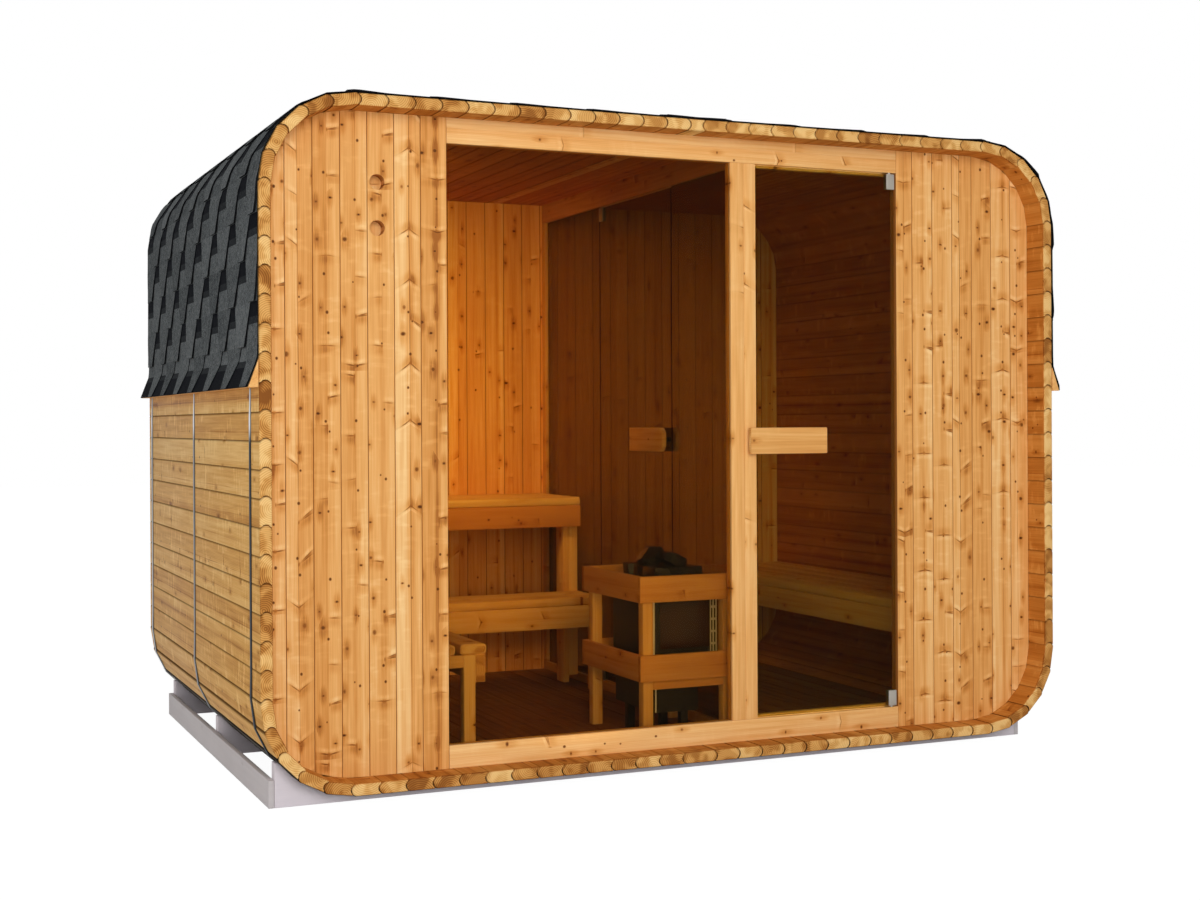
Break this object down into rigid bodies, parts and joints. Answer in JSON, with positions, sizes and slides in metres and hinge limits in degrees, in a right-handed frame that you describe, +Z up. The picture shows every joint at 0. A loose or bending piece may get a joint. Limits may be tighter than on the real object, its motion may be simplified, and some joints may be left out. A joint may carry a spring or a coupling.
{
  "type": "cube sauna",
  "caption": "Rounded-corner timber cube sauna: interlocking stave shell on a cradle base, shingle roof, recessed glazed front with hinged glass doors, partition, benches and guarded heater",
  "frame": {"origin": "on the ground under the middle of the building", "axes": "+X to the right along the glazed front, +Y from the front to the back, +Z up"},
  "size_m": [3.3024, 2.35, 2.4032],
  "materials": {
    "shell_wood": "oiled spruce staves, satin",
    "wall_wood": "planed knotty spruce boards, satin",
    "inner_wood": "smooth planed softwood, untreated",
    "handle_wood": "smooth planed softwood, untreated",
    "base_paint": "light grey painted timber, matt",
    "band_steel": "bright stainless strap",
    "fitting_steel": "satin stainless",
    "shingle": "mineral-faced bitumen shingle, charcoal",
    "front_glass": "bronze-tinted toughened glass",
    "partition_glass": "bronze-tinted toughened glass",
    "heater_steel": "dark enamelled steel",
    "heater_stone": "dark split stones"
  },
  "bodies": {
    "house": {"floor_staves": "shell_wood", "roof_staves": "shell_wood", "left_wall_staves": "shell_wood", "right_wall_staves": "shell_wood", "lower_corner_staves": "shell_wood", "upper_corner_staves": "shell_wood", "front_panel_left": "wall_wood", "front_panel_right": "wall_wood", "head_rail": "wall_wood", "sill_rail": "wall_wood", "mullion_post": "wall_wood", "back_wall": "wall_wood", "vent_slider": "wall_wood", "drip_battens": "wall_wood", "partition_frame": "inner_wood", "upper_bench_slats": "inner_wood", "upper_bench_frame": "inner_wood", "lower_bench_slats": "inner_wood", "lower_bench_frame": "inner_wood", "side_bench_slats": "inner_wood", "side_bench_frame": "inner_wood", "rest_bench_slats": "inner_wood", "rest_bench_frame": "inner_wood", "heater_guard": "inner_wood", "cradles": "base_paint", "runners": "base_paint", "bands": "band_steel", "door_pivots": "fitting_steel", "inner_door_pivots": "fitting_steel", "shingles_left": "shingle", "shingles_right": "shingle", "ridge_cap": "shingle", "window_glass": "front_glass", "partition_panes": "partition_glass", "heater_body": "heater_steel", "heater_stones": "heater_stone"},
    "front_door": {"door_glass": "front_glass", "door_handle": "handle_wood", "door_fittings": "fitting_steel"},
    "inner_door": {"inner_door_glass": "partition_glass", "inner_door_handle": "handle_wood", "inner_door_fittings": "fitting_steel"}
  },
  "joints": [
    {"name": "front_door_hinge", "type": "hinge", "parent": "house", "child": "front_door", "pos_m": [0.9, -1.063, 1.2], "axis": [0, 0, 1], "range_deg": [0, 110]},
    {"name": "inner_door_hinge", "type": "hinge", "parent": "house", "child": "inner_door", "pos_m": [0.268, 0.32, 1.2], "axis": [0, 0, 1], "range_deg": [0, 95]}
  ]
}
